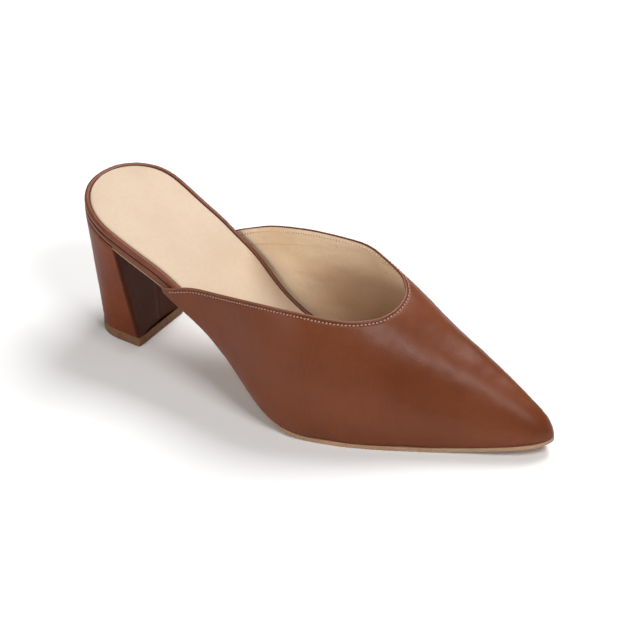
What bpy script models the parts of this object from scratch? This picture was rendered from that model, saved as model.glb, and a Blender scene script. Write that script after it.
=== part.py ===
"""Block heel mule for a right foot: open back, high vamp with a V throat, pointed toe.

Metres, +Z up, +X to the toe and +Y to the inner side of the foot. The origin is
on the floor, under the middle of the top lift.
"""

import math
from collections import namedtuple

import bmesh
import bpy
import numpy as np

# The shoe's own sizes
SHOE_LENGTH = 0.250  # back of the heel seat to the tip of the toe, measured level
BALL_WIDTH = 0.0780  # across the widest points of the sole's outline
HEEL_HEIGHT = 0.0645  # floor to the outsole's underside line, at the back
THROAT_HEIGHT = 0.0598  # outsole to the ridge of the vamp, at the throat
TOE_SPRING = 0.0062  # rise of the sole's underside at the toe
TOE_ROUNDING = 0.0060  # length over which the pointed toe is rounded off

# Walls and layers
UPPER_WALL = 0.0016  # leather, backing and lining together
OUTSOLE_THICKNESS = 0.0022
BOARD_THICKNESS = 0.0030
COVER_THICKNESS = 0.0030
SOCK_THICKNESS = 0.0009
BINDING_WIDTH = 0.0024  # roll of leather that shows around the sock
WAIST_INSET = 0.0030  # the outsole is this much narrower at the waist
SWELL_HEIGHT = 0.0860  # how high the walls swell, times the root of their swell's share
SOLE_MARGIN = 0.0004  # the outsole shows this much beyond the upper
CLEARANCE = 0.0003  # between pieces that are glued to each other

# Heel and top lift
BREAST_SETBACK = 0.0330  # back of the shoe to the heel's breast, at its top
HEEL_CORNER = 0.0022  # rounding of the two upright corners
BREAST_HOLLOW = 0.0008
LIFT_SETBACK = 0.0100  # back of the shoe to the back of the lift
LIFT_LENGTH = 0.0307
LIFT_WIDTH = 0.0362
LIFT_THICKNESS = 0.0050
LIFT_PROUD = 0.0005  # the lift stands out around the heel by this much
LIFT_BEVEL = 0.0004
LIFT_ROUNDING = 0.58  # share of the lift's length over which its back is rounded
LIFT_FULLNESS = 2.20  # 2 is an ellipse, more is squarer

LIFT_CENTRE = LIFT_SETBACK + LIFT_LENGTH / 2

# Underside of the sole: station is a share of SHOE_LENGTH, rise of HEEL_HEIGHT
Profile = namedtuple("Profile", "station rise")
SHANK = (
    Profile(0.00, 1.000),
    Profile(0.08, 0.948),
    Profile(0.18, 0.838),
    Profile(0.24, 0.738),
    Profile(0.30, 0.602),
    Profile(0.36, 0.448),
    Profile(0.42, 0.290),
    Profile(0.48, 0.140),
    Profile(0.54, 0.038),
    Profile(0.60, 0.000),
)
SPRING_STATION = 0.77  # the sole leaves the floor here on its way to the toe

# Outline of the sole seen from above, in shares of SHOE_LENGTH and BALL_WIDTH
Outline = namedtuple("Outline", "station outer inner")
OUTLINE = (
    Outline(0.00, -0.286, 0.445),
    Outline(0.05, -0.306, 0.440),
    Outline(0.12, -0.339, 0.413),
    Outline(0.20, -0.370, 0.386),
    Outline(0.24, -0.374, 0.386),
    Outline(0.28, -0.376, 0.378),
    Outline(0.33, -0.363, 0.370),
    Outline(0.37, -0.367, 0.343),
    Outline(0.42, -0.396, 0.330),
    Outline(0.47, -0.443, 0.364),
    Outline(0.52, -0.476, 0.427),
    Outline(0.57, -0.477, 0.483),
    Outline(0.62, -0.438, 0.516),
    Outline(0.67, -0.380, 0.522),
    Outline(0.74, -0.270, 0.502),
    Outline(0.82, -0.126, 0.453),
    Outline(0.90, 0.013, 0.397),
    Outline(0.96, 0.117, 0.351),
    Outline(1.00, 0.204, 0.329),
)
SEAT_ROUNDING = 0.125  # share of the length over which the back is rounded
SEAT_FULLNESS = 2.10  # 2 is an ellipse, more is squarer

# The last over the sole: side is the ridge's place in shares of BALL_WIDTH, height
# its height over the outsole in shares of THROAT_HEIGHT. Behind the throat the
# ridge isn't built, but it shapes the two side walls. A wall swells out over its
# lasted edge by its own share of BALL_WIDTH, most at the inner side of the waist
Section = namedtuple(
    "Section", "station side height outer_fullness inner_fullness outer_swell inner_swell"
)
LAST = (
    Section(0.25, 0.015, 1.270, 2.50, 2.50, 0.016, 0.020),
    Section(0.32, 0.044, 1.340, 2.50, 2.50, 0.016, 0.040),
    Section(0.40, 0.088, 1.380, 2.50, 2.50, 0.018, 0.070),
    Section(0.48, 0.142, 1.380, 2.60, 2.60, 0.018, 0.060),
    Section(0.56, 0.176, 1.280, 2.65, 2.70, 0.016, 0.030),
    Section(0.62, 0.184, 1.130, 2.60, 2.70, 0.016, 0.018),
    Section(0.69, 0.179, 0.978, 2.40, 2.60, 0.016, 0.016),
    Section(0.77, 0.201, 0.766, 2.30, 2.50, 0.016, 0.016),
    Section(0.82, 0.227, 0.652, 2.20, 2.45, 0.016, 0.016),
    Section(0.87, 0.245, 0.524, 2.20, 2.40, 0.016, 0.016),
    Section(0.92, 0.257, 0.385, 2.20, 2.35, 0.014, 0.014),
    Section(0.96, 0.267, 0.252, 2.20, 2.30, 0.010, 0.010),
    Section(1.00, 0.269, 0.120, 2.20, 2.20, 0.006, 0.006),
)
TIP_ROUNDING = 0.048  # share of the length over which the toe closes down

# The topline: share is how far up the wall it runs, from the lasted edge (0) to
# the ridge (1)
Topline = namedtuple("Topline", "station share")
OUTER_TOPLINE = (
    Topline(0.2580, 0.030),
    Topline(0.2840, 0.090),
    Topline(0.3200, 0.180),
    Topline(0.3700, 0.280),
    Topline(0.4250, 0.385),
    Topline(0.4800, 0.478),
    Topline(0.5350, 0.548),
    Topline(0.5900, 0.606),
    Topline(0.6350, 0.662),
    Topline(0.6640, 0.725),
    Topline(0.6800, 0.782),
    Topline(0.6870, 0.835),
    Topline(0.6898, 0.890),
    Topline(0.6905, 0.945),
    Topline(0.6905, 1.000),
)
INNER_TOPLINE = (
    Topline(0.2580, 0.025),
    Topline(0.2840, 0.100),
    Topline(0.3200, 0.205),
    Topline(0.3650, 0.340),
    Topline(0.4150, 0.480),
    Topline(0.4650, 0.595),
    Topline(0.5150, 0.678),
    Topline(0.5600, 0.745),
    Topline(0.6000, 0.788),
    Topline(0.6400, 0.818),
    Topline(0.6620, 0.862),
    Topline(0.6780, 0.915),
    Topline(0.6875, 0.960),
    Topline(0.6905, 1.000),
)

# Where the footbed slips inside the upper, in shares of the length. It is shorter
# again at the toe, where the upper closes down over it
SLIP_START, SLIP_END = 0.20, 0.262
TOE_SLIP_START = 0.88
TOE_SLIP = 2.0  # in walls of the upper

# Where the outsole is narrower than the upper, in shares of the length
WAIST_START, WAIST_END = 0.12, 0.56
MARGIN_REACH = 0.06  # the upper's edge moves inside the outsole's over this share

# Number of steps in each piece
SEAT_STEPS, WAIST_STEPS, TOE_STEPS = 8, 23, 5
WING_STEPS, VAMP_STEPS, TIP_STEPS = 22, 13, 6
THROAT_LEAN = 0.080  # share of the length by which the throat's row leans to the toe
HEEL_STEPS, HEEL_LEVELS = 12, 7
BREAST_STEPS = 6
CORNER_STEPS = (0.55, 0.88, 1.0)  # places round an upright corner of the heel
ROLL = 0.42  # radius of a rolled rim, in shares of the sheet's thickness
OUTSOLE_ROLL = 0.3
SLOPE_REACH = 0.003  # half the stretch over which a slope is read, as a share
WALL_SHARES = (
    *(0, 0.03, 0.07, 0.12, 0.18, 0.25, 0.33, 0.41, 0.49),
    *(0.57, 0.64, 0.71, 0.77, 0.83, 0.89, 0.95, 1),
)


def smooth_curve(places, values, start_slope=None, end_slope=None):
    """A cubic curve through the given values, free at an end without a slope."""
    x, y = np.array(places, float), np.array(values, float)
    step, rise = np.diff(x), np.diff(y)
    n = len(x)
    system, target = np.zeros((n, n)), np.zeros(n)
    for i in range(1, n - 1):
        system[i, i - 1 : i + 2] = step[i - 1], 2 * (step[i - 1] + step[i]), step[i]
        target[i] = 6 * (rise[i] / step[i] - rise[i - 1] / step[i - 1])
    system[0, 0] = system[-1, -1] = 1
    if start_slope is not None:
        system[0, :2] = 2 * step[0], step[0]
        target[0] = 6 * (rise[0] / step[0] - start_slope)
    if end_slope is not None:
        system[-1, -2:] = step[-1], 2 * step[-1]
        target[-1] = 6 * (end_slope - rise[-1] / step[-1])
    bend = np.linalg.solve(system, target)

    def value_at(place):
        i = np.clip(np.searchsorted(x, place) - 1, 0, n - 2)
        before, after = place - x[i], x[i + 1] - place
        return (
            (bend[i] * after**3 + bend[i + 1] * before**3) / (6 * step[i])
            + (y[i] / step[i] - bend[i] * step[i] / 6) * after
            + (y[i + 1] / step[i] - bend[i + 1] * step[i] / 6) * before
        )

    return value_at


def column(rows, name, unit=1.0, **slopes):
    """One column of a table as a smooth curve over the station."""
    return smooth_curve([r.station for r in rows], [getattr(r, name) * unit for r in rows], **slopes)


shank_rise = column(SHANK, "rise", HEEL_HEIGHT, end_slope=0.0)
open_outer = column(OUTLINE, "outer", BALL_WIDTH)
open_inner = column(OUTLINE, "inner", BALL_WIDTH)
ridge_side = column(LAST, "side", BALL_WIDTH)
ridge_height = column(LAST, "height", THROAT_HEIGHT)
fullness = {-1: column(LAST, "outer_fullness"), 1: column(LAST, "inner_fullness")}
swell = {
    -1: column(LAST, "outer_swell", BALL_WIDTH),
    1: column(LAST, "inner_swell", BALL_WIDTH),
}


def underside(station):
    """Height of the sole's underside line: heel seat, waist, flat tread, toe spring."""
    station = np.asarray(station, float)
    spring = np.clip((station - SPRING_STATION) / (1 - SPRING_STATION), 0, None)
    rise = np.where(station < SHANK[-1].station, shank_rise(station), 0.0)
    return rise + TOE_SPRING * spring**2


def layer(station, thickness):
    """Height of a surface that lies this far over the underside, square to it."""
    rise = underside(station + SLOPE_REACH) - underside(station - SLOPE_REACH)
    slope = rise / (2 * SLOPE_REACH * SHOE_LENGTH)
    return underside(station) + thickness * np.sqrt(1 + slope**2)


def end_rounding(station):
    """Share of the open width that is left near the rounded ends."""
    back = np.clip(1 - station / SEAT_ROUNDING, 0, 1)
    seat = (1 - back**SEAT_FULLNESS) ** (1 / SEAT_FULLNESS)
    front = np.clip(1 - (1 - station) * SHOE_LENGTH / TOE_ROUNDING, 0, 1)
    return seat * np.sqrt(1 - front**2)


def outline_sides(station):
    """Outer and inner edge of the sole's outline."""
    outer, inner = open_outer(station), open_inner(station)
    middle, left = (outer + inner) / 2, end_rounding(station)
    return middle + (outer - middle) * left, middle + (inner - middle) * left


def dense_outline():
    angle = np.linspace(0, math.pi, 700)
    station = (1 - np.cos(angle)) / 2
    outer, inner = outline_sides(station)
    return np.concatenate([station, station]) * SHOE_LENGTH, np.concatenate([outer, inner])


outline_x, outline_y = dense_outline()


def depth_inside(x, y):
    """How far a point lies inside the outline; negative is outside."""
    station = np.clip(x / SHOE_LENGTH, 0, 1)
    outer, inner = outline_sides(station)
    away = np.hypot(x[:, None] - outline_x, y[:, None] - outline_y).min(axis=1)
    inside = (y > outer) & (y < inner) & (x > 0) & (x < SHOE_LENGTH)
    return np.where(inside, away, -away)


def bisect(near, far, good, rounds=26):
    """The last good place on the way from near to far, for many pairs at once."""
    near, far = np.array(near, float), np.array(far, float)
    for _ in range(rounds):
        middle = (near + far) / 2
        kept = good(middle)
        near, far = np.where(kept, middle, near), np.where(kept, far, middle)
    return near


def middle_line(x):
    outer, inner = outline_sides(np.clip(x / SHOE_LENGTH, 0, 1))
    return (outer + inner) / 2


def inset_sides(x, inset):
    """Both edges of the outline moved inwards, at each x; inset can vary with x."""
    middle, reach = middle_line(x), np.full(len(x), BALL_WIDTH)
    outer = bisect(middle, middle - reach, lambda y: depth_inside(x, y) >= inset)
    inner = bisect(middle, middle + reach, lambda y: depth_inside(x, y) >= inset)
    return outer, inner


def inset_ends(inset_at):
    """Where the outline moved inwards begins at the back and ends at the toe."""

    def kept(x):
        return depth_inside(x, middle_line(x)) >= inset_at(x)

    half = np.array([SHOE_LENGTH / 2])
    overhang = SHOE_LENGTH * 0.02
    back = bisect(half, np.array([-overhang]), kept)[0]
    tip = bisect(half, np.array([SHOE_LENGTH + overhang]), kept)[0]
    return back, tip


def stations_between(back, tip):
    """Rungs across the sole, close together where its ends are round."""
    seat, toe = SEAT_ROUNDING * SHOE_LENGTH, 2 * TOE_ROUNDING
    turn = np.linspace(0, math.pi / 2, SEAT_STEPS + 1)
    ease = np.linspace(1, 0, TOE_STEPS + 1) ** 2
    return np.concatenate(
        [
            back + (seat - back) * (1 - np.cos(turn))[:-1],
            np.linspace(seat, tip - toe, WAIST_STEPS + 1)[:-1],
            tip - toe * ease,
        ]
    )


def to_row(x, y, z):
    """Points in the shoe's frame, with x measured from the middle of the top lift."""
    return np.stack([x - LIFT_CENTRE, y, z], axis=-1)


def new_object(name, vertices, faces, material):
    """One closed body, smooth apart from its sharp edges."""
    work = bmesh.new()
    made = [work.verts.new(v) for v in vertices]
    for face in faces:
        work.faces.new([made[i] for i in face])
    bmesh.ops.remove_doubles(work, verts=work.verts, dist=1e-6)
    bmesh.ops.dissolve_degenerate(work, edges=work.edges, dist=1e-6)
    bmesh.ops.recalc_face_normals(work, faces=work.faces)
    mesh = bpy.data.meshes.new(name)
    work.to_mesh(mesh)
    work.free()
    mesh.shade_smooth()
    mesh.set_sharp_from_angle(angle=math.radians(40))
    mesh.materials.append(material)
    piece = bpy.data.objects.new(name, mesh)
    bpy.context.collection.objects.link(piece)
    piece.parent = shoe
    return piece


def material(name, colour, roughness, metallic=0.0):
    """A plain surface; colour is given as it looks, on a 0 to 255 scale."""
    made = bpy.data.materials.new(name)
    made.use_nodes = True
    surface = made.node_tree.nodes["Principled BSDF"]
    linear = [((c / 255 + 0.055) / 1.055) ** 2.4 for c in colour]
    surface.inputs["Base Color"].default_value = (*linear, 1)
    surface.inputs["Roughness"].default_value = roughness
    surface.inputs["Metallic"].default_value = metallic
    made.diffuse_color = (*linear, 1)
    return made


def ladder(rings):
    """A closed body between rings of (outer points, inner points), caps included."""
    rungs = len(rings[0][0])
    vertices = np.concatenate([np.concatenate(ring) for ring in rings])
    around = list(range(rungs)) + [rungs + k for k in range(rungs - 1, -1, -1)]
    faces = []
    for level in range(len(rings) - 1):
        low, high = level * 2 * rungs, (level + 1) * 2 * rungs
        for a, b in zip(around, around[1:] + around[:1]):
            faces.append((low + a, low + b, high + b, high + a))
    for start in (0, (len(rings) - 1) * 2 * rungs):
        for k in range(rungs - 1):
            faces.append((start + k, start + k + 1, start + rungs + k + 1, start + rungs + k))
    return vertices, faces


def plate(name, edge, material, inset_at=None, start=None):
    """A sheet that follows the sole: edge lists (inset, height) from below to above."""
    rings = []
    for inset, height in edge:

        def whole_inset(x):
            return inset + (inset_at(x) if inset_at else 0.0)

        back, tip = inset_ends(whole_inset)
        if start is not None:
            x = np.linspace(start, tip - 2 * TOE_ROUNDING, WAIST_STEPS + 1)[:-1]
            x = np.concatenate([x, stations_between(back, tip)[-TOE_STEPS - 1 :]])
        else:
            x = stations_between(back, tip)
        outer, inner = inset_sides(x, whole_inset(x))
        outer[-1] = inner[-1] = middle_line(x[-1])
        if start is None:
            outer[0] = inner[0] = middle_line(x[0])
        z = layer(x / SHOE_LENGTH, height)
        rings.append((to_row(x, outer, z), to_row(x, inner, z)))
    return new_object(name, *ladder(rings), material)


def rolled_edge(low, high, radius, steps=3):
    """Edge rows of a sheet whose rim is rounded below and above."""
    turn = [math.pi / 2 * k / steps for k in range(steps + 1)]
    below = [(radius * (1 - math.sin(t)), low + radius * (1 - math.cos(t))) for t in turn]
    above = [(inset, high - (height - low)) for inset, height in reversed(below)]
    return below + above


def upper_margin(x):
    """How far the upper's lasted edge stays inside the outline: at the forepart only."""
    return SOLE_MARGIN * np.clip((x / SHOE_LENGTH - WAIST_END) / MARGIN_REACH, 0, 1)


def slip_inset(x):
    """How much narrower the footbed is than the outline: nothing at the seat, and
    the upper's wall with its clearances where the upper encloses it."""
    share = np.clip((x / SHOE_LENGTH - SLIP_START) / (SLIP_END - SLIP_START), 0, 1)
    inside = upper_margin(x) + UPPER_WALL + 2 * CLEARANCE
    toe = np.clip((x / SHOE_LENGTH - TOE_SLIP_START) / (1 - TOE_SLIP_START), 0, 1)
    return inside * (share**2 * (3 - 2 * share) + TOE_SLIP * toe)


BOARD_BOTTOM = OUTSOLE_THICKNESS + CLEARANCE
BOARD_TOP = BOARD_BOTTOM + BOARD_THICKNESS
COVER_BOTTOM = BOARD_TOP + CLEARANCE
COVER_TOP = COVER_BOTTOM + COVER_THICKNESS
SOCK_BOTTOM = COVER_TOP - SOCK_THICKNESS
RECESS = SOCK_BOTTOM - CLEARANCE


def waist_inset(x):
    """The outsole is skived narrower than the upper along the waist."""
    place = np.clip((x / SHOE_LENGTH - WAIST_START) / (WAIST_END - WAIST_START), 0, 1)
    return WAIST_INSET * np.sin(math.pi * place) ** 2


def make_outsole(material):
    """Thin sheet from the heel's breast to the toe, flat on the floor at the tread."""
    edge = rolled_edge(0.0, OUTSOLE_THICKNESS, OUTSOLE_THICKNESS * OUTSOLE_ROLL, steps=1)
    start = BREAST_SETBACK + CLEARANCE
    return plate("outsole", edge, material, inset_at=waist_inset, start=start)


def make_board(material):
    """Lasting board, its rim wrapped in leather as the lower of the two rolls."""
    edge = rolled_edge(BOARD_BOTTOM, BOARD_TOP, BOARD_THICKNESS * ROLL, steps=2)
    return plate("insole_board", edge, material, inset_at=slip_inset)


def make_cover(material):
    """Padded cover over the board: the upper roll, with a recess for the sock."""
    radius = COVER_THICKNESS * ROLL
    edge = rolled_edge(COVER_BOTTOM, COVER_TOP, radius, steps=2)
    edge += [(BINDING_WIDTH - radius / 2, COVER_TOP), (BINDING_WIDTH, RECESS)]
    return plate("footbed_cover", edge, material, inset_at=slip_inset)


def make_sock(material):
    """Smooth leather sheet that lies in the cover's recess."""
    inset = BINDING_WIDTH + CLEARANCE
    top = SOCK_BOTTOM + SOCK_THICKNESS
    soft = SOCK_THICKNESS / 3
    edge = [(inset, SOCK_BOTTOM), (inset, top - soft), (inset + soft, top)]
    return plate("insole_sock", edge, material, inset_at=slip_inset)


def heel_ring(level, proud=0.0, flat=None, corner=HEEL_CORNER):
    """One level of the heel, 0 at the seat and 1 at the lift, as outer points,
    breast points and inner points. flat is a level height; without it the height
    runs from the seat's curve down to the top of the lift."""
    turn = np.linspace(0, math.pi / 2, HEEL_STEPS + 1)[:-1]
    straight = 1 - corner / LIFT_LENGTH
    corners = straight + (1 - straight) * np.array(CORNER_STEPS)
    share = np.concatenate([(1 - np.cos(turn)) * straight, [straight], corners])
    top_x = share * BREAST_SETBACK
    top_outer, top_inner = outline_sides(top_x / SHOE_LENGTH)
    low_x = LIFT_SETBACK + share * LIFT_LENGTH
    back = np.clip(1 - share / LIFT_ROUNDING, 0, 1)
    half = LIFT_WIDTH / 2 * (1 - back**LIFT_FULLNESS) ** (1 / LIFT_FULLNESS)
    x = top_x + (low_x - top_x) * level
    outer = top_outer + (-half - top_outer) * level
    inner = top_inner + (half - top_inner) * level
    rounding = np.clip((share - straight) * LIFT_LENGTH, 0, corner)
    pull = corner - np.sqrt(corner**2 - rounding**2)
    outer, inner = outer + pull, inner - pull
    middle = (outer + inner) / 2
    x = x + proud * (2 * share - 1)
    outer = outer - proud * np.clip((middle - outer) / (LIFT_WIDTH / 4), 0, 1)
    inner = inner + proud * np.clip((inner - middle) / (LIFT_WIDTH / 4), 0, 1)
    across = np.linspace(0, 1, BREAST_STEPS + 1)[1:-1]
    breast_y = outer[-1] + (inner[-1] - outer[-1]) * across
    hollow = BREAST_HOLLOW if flat is None else 0.0
    breast_x = x[-1] - hollow * np.sin(math.pi * across)

    def raised(px, py):
        seat = layer(px / SHOE_LENGTH, OUTSOLE_THICKNESS)
        foot = LIFT_THICKNESS + CLEARANCE
        z = seat + (foot - seat) * level if flat is None else np.full(len(px), flat)
        return to_row(px, py, z)

    return raised(x, outer), raised(breast_x, breast_y), raised(x, inner)


def heel_body(rings):
    """A closed body between heel rings, with a cap at the first and the last."""
    rungs, across = len(rings[0][0]), len(rings[0][1])
    size = 2 * rungs + across
    vertices = np.concatenate([np.concatenate(ring) for ring in rings])
    breast = list(range(rungs, rungs + across))
    inner = [rungs + across + k for k in range(rungs)]
    around = list(range(rungs)) + breast + inner[::-1]
    faces = []
    for level in range(len(rings) - 1):
        low, high = level * size, (level + 1) * size
        for a, b in zip(around, around[1:] + around[:1]):
            faces.append((low + a, low + b, high + b, high + a))
    for start in (0, (len(rings) - 1) * size):
        for k in range(rungs - 4):
            faces.append((start + k, start + k + 1, start + inner[k + 1], start + inner[k]))
        last = list(range(rungs - 4, rungs)) + breast + inner[rungs - 4 :][::-1]
        faces.append([start + i for i in last])
    return vertices, faces


def make_heel(material):
    """Leather-covered block, tapered from the seat to the lift, its breast hollowed."""
    rings = [heel_ring(k / HEEL_LEVELS) for k in range(HEEL_LEVELS + 1)]
    return new_object("heel_block", *heel_body(rings), material)


def make_lift(material):
    """Rubber top lift, flat on the floor."""
    heights = (
        (LIFT_THICKNESS, LIFT_PROUD),
        (LIFT_BEVEL, LIFT_PROUD),
        (0.0, LIFT_PROUD - LIFT_BEVEL),
    )
    rings = [heel_ring(1.0, proud=proud, flat=height) for height, proud in heights]
    return new_object("top_lift", *heel_body(rings), material)


def half_section(x, edge, side, inset):
    """The last's curve at x from the lasted edge up to the ridge, in even steps of
    its own length, as y and z. side is -1 for the outer half and 1 for the inner."""
    station = x / SHOE_LENGTH
    rise = ridge_height(station + SLOPE_REACH) - ridge_height(station - SLOPE_REACH)
    slope = rise / (2 * SLOPE_REACH * SHOE_LENGTH) if station < 1 - TIP_ROUNDING else 0.0
    closing = np.clip((station - (1 - TIP_ROUNDING)) / TIP_ROUNDING, 0, 1)
    height = ridge_height(station) * math.sqrt(1 - closing**3) - inset * math.sqrt(1 + slope**2)
    height = max(height, 1e-5)
    tuck = swell[side](station)
    tuck_height = min(SWELL_HEIGHT * math.sqrt(tuck / BALL_WIDTH), height / 2)
    width = side * (edge - ridge_side(station)) + tuck
    power = 2 / fullness[side](station)
    turn = np.linspace(0, math.pi / 2, 400)
    up = height * np.sin(turn) ** power
    out = width * np.clip(np.cos(turn), 0, 1) ** power
    low = np.clip(1 - up / tuck_height, 0, 1)
    out = out - tuck * low**2
    length = np.append(0, np.cumsum(np.hypot(np.diff(up), np.diff(out))))
    y = ridge_side(station) + side * out
    z = layer(station, OUTSOLE_THICKNESS + CLEARANCE) + up
    return length, y, z


def wall_grid(low_x, top_x, top, side, inset):
    """Points of one half of the wall: each row leans from low_x at the lasted edge to
    top_x at its share of the curve."""
    lean = np.array(WALL_SHARES)
    x = low_x[:, None] + (top_x - low_x)[:, None] * lean
    outer, inner = inset_sides(x.ravel(), upper_margin(x.ravel()) + inset)
    edges = outer if side < 0 else inner
    shares = (top[:, None] * lean).ravel()
    points = []
    for place, edge, share in zip(x.ravel(), edges, shares):
        length, y, z = half_section(place, edge, side, inset)
        up = share * length[-1]
        points.append(to_row(place, np.interp(up, length, y), np.interp(up, length, z)))
    return np.array(points).reshape(*x.shape, 3)


def topline_run(rows):
    """Stations and shares along the topline, rear to throat, in even steps of its
    length."""
    places = np.linspace(0, 1, len(rows))
    dense = np.linspace(0, 1, 400)
    x = smooth_curve(places, [r.station for r in rows], end_slope=0.0)(dense) * SHOE_LENGTH
    share = smooth_curve(places, [r.share for r in rows])(dense)
    length = np.append(0, np.cumsum(np.hypot(np.diff(x), np.diff(share) * THROAT_HEIGHT)))
    run = np.linspace(0, length[-1], WING_STEPS + 1)
    return np.interp(run, length, x), np.clip(np.interp(run, length, share), 0, 1)


def upper_half(rows, side, inset):
    """One half of the upper at one of its two surfaces, from the rear to the tip."""
    wing_x, wing_top = topline_run(rows)
    throat = wing_x[-1]
    lean = throat + THROAT_LEAN * SHOE_LENGTH
    tip = inset_ends(lambda x: upper_margin(x) + inset)[1]
    full_tip = inset_ends(upper_margin)[1]
    nose = full_tip - TIP_ROUNDING * SHOE_LENGTH
    ease = np.linspace(1, 0, TIP_STEPS + 1) ** 2
    closing = tip - (tip - nose) * ease
    wing_low = np.linspace(wing_x[0], lean, WING_STEPS + 1)
    low_x = np.concatenate([wing_low, np.linspace(lean, nose, VAMP_STEPS + 1)[1:-1], closing])
    ridge_x = np.concatenate([np.linspace(throat, nose, VAMP_STEPS + 1)[1:-1], closing])
    top = np.append(wing_top, np.ones(len(ridge_x)))
    grid = wall_grid(low_x, np.append(wing_x, ridge_x), top, side, inset)
    grid[-1] = to_row(tip, middle_line(tip), layer(tip / SHOE_LENGTH, OUTSOLE_THICKNESS + CLEARANCE))
    return grid


def make_upper(material):
    """One hollow wall: two wings joined over the vamp, open at the back and below."""
    vertices, faces = [], []
    for rows, side in ((OUTER_TOPLINE, -1), (INNER_TOPLINE, 1)):
        surfaces = [upper_half(rows, side, inset) for inset in (0.0, UPPER_WALL)]
        count, across = surfaces[0].shape[:2]
        start = sum(len(v) for v in vertices)
        size = count * across
        vertices += [s.reshape(-1, 3) for s in surfaces]

        def corner(surface, i, j):
            return start + surface * size + i * across + j

        for surface in (0, 1):
            for i in range(count - 1):
                for j in range(across - 1):
                    places = ((i, j), (i + 1, j), (i + 1, j + 1), (i, j + 1))
                    faces.append([corner(surface, *p) for p in places])
        rims = [((i, 0), (i + 1, 0)) for i in range(count - 1)]
        rims += [((i, across - 1), (i + 1, across - 1)) for i in range(WING_STEPS)]
        rims += [((0, j), (0, j + 1)) for j in range(across - 1)]
        for a, b in rims:
            faces.append([corner(0, *a), corner(0, *b), corner(1, *b), corner(1, *a)])
    return new_object("upper", np.concatenate(vertices), faces, material)


for old in list(bpy.data.objects):
    bpy.data.objects.remove(old, do_unlink=True)

shoe = bpy.data.objects.new("shoe", None)
bpy.context.collection.objects.link(shoe)

brown_leather = material("brown_leather", (134, 78, 53), 0.42)
brown_binding = material("brown_binding", (128, 74, 52), 0.45)
brown_heel = material("brown_heel_cover", (120, 68, 46), 0.36)
beige_leather = material("beige_leather", (237, 214, 187), 0.6)
tan_sole = material("tan_outsole", (166, 138, 108), 0.55)
lift_rubber = material("lift_rubber", (104, 78, 56), 0.6)

make_outsole(tan_sole)
make_board(brown_binding)
make_cover(brown_binding)
make_sock(beige_leather)
make_heel(brown_heel)
make_lift(lift_rubber)
make_upper(brown_leather)
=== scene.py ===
import math

import bmesh
import bpy
import numpy as np
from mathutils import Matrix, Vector, geometry, noise


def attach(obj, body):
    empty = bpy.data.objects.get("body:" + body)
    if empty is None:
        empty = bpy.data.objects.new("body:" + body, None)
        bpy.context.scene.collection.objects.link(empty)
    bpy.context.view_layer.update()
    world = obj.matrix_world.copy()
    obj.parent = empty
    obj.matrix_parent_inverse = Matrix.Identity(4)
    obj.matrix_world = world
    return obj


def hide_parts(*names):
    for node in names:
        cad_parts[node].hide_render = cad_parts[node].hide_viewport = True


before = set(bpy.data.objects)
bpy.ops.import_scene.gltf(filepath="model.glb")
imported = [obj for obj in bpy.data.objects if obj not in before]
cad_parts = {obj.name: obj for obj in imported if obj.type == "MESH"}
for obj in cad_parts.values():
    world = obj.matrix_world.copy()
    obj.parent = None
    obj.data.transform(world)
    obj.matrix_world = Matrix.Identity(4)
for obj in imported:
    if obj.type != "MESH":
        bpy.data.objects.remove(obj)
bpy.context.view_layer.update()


# The shoe's form, in metres. The tables follow the last of the solids, with the seat's back
# corner and the inner side of the vamp a little fuller
shoe = {
    "length": 0.250,
    "ballWidth": 0.0780,
    "heelHeight": 0.0645,
    "throatHeight": 0.0598,
    "toeSpring": 0.0062,
    "springStart": 0.77,  # share of the length
    "toeRounding": 0.0060,
    "seatRounding": 0.125,
    "seatFullness": 2.10,
    "tipRounding": 0.048,
    "swellHeight": 0.086,
    "outsole": 0.0022,
    "board": 0.0030,
    "cover": 0.0030,
    "gap": 0.0003,
    "slip": 0.0022,  # how much narrower the footbed is inside the upper
    "slipStart": 0.12,
    "slipRun": 0.155,
    "pareDepth": 0.0019,  # of the sole sheet's lower edge at the waist
    "waistDraw": 0.0028,
    "originX": 0.02535,  # back of the shoe to the middle of the top lift
}

# station along the length, rise of the sole's underside as a share of heelHeight
shankTable = [
    (0.00, 1.000), (0.08, 0.948), (0.18, 0.838), (0.24, 0.738), (0.30, 0.602),
    (0.36, 0.448), (0.42, 0.290), (0.48, 0.140), (0.54, 0.038), (0.60, 0.000),
]

# station, outer edge, inner edge, as shares of ballWidth
outlineTable = [
    (0.00, -0.286, 0.458), (0.05, -0.306, 0.454), (0.12, -0.339, 0.420), (0.20, -0.370, 0.388),
    (0.24, -0.374, 0.386), (0.28, -0.376, 0.378), (0.33, -0.363, 0.370), (0.37, -0.367, 0.343),
    (0.42, -0.396, 0.330), (0.47, -0.443, 0.364), (0.52, -0.476, 0.427), (0.57, -0.477, 0.483),
    (0.62, -0.438, 0.516), (0.67, -0.380, 0.522), (0.74, -0.270, 0.502), (0.82, -0.126, 0.453),
    (0.90, 0.013, 0.397), (0.96, 0.117, 0.351), (1.00, 0.204, 0.329),
]

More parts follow.
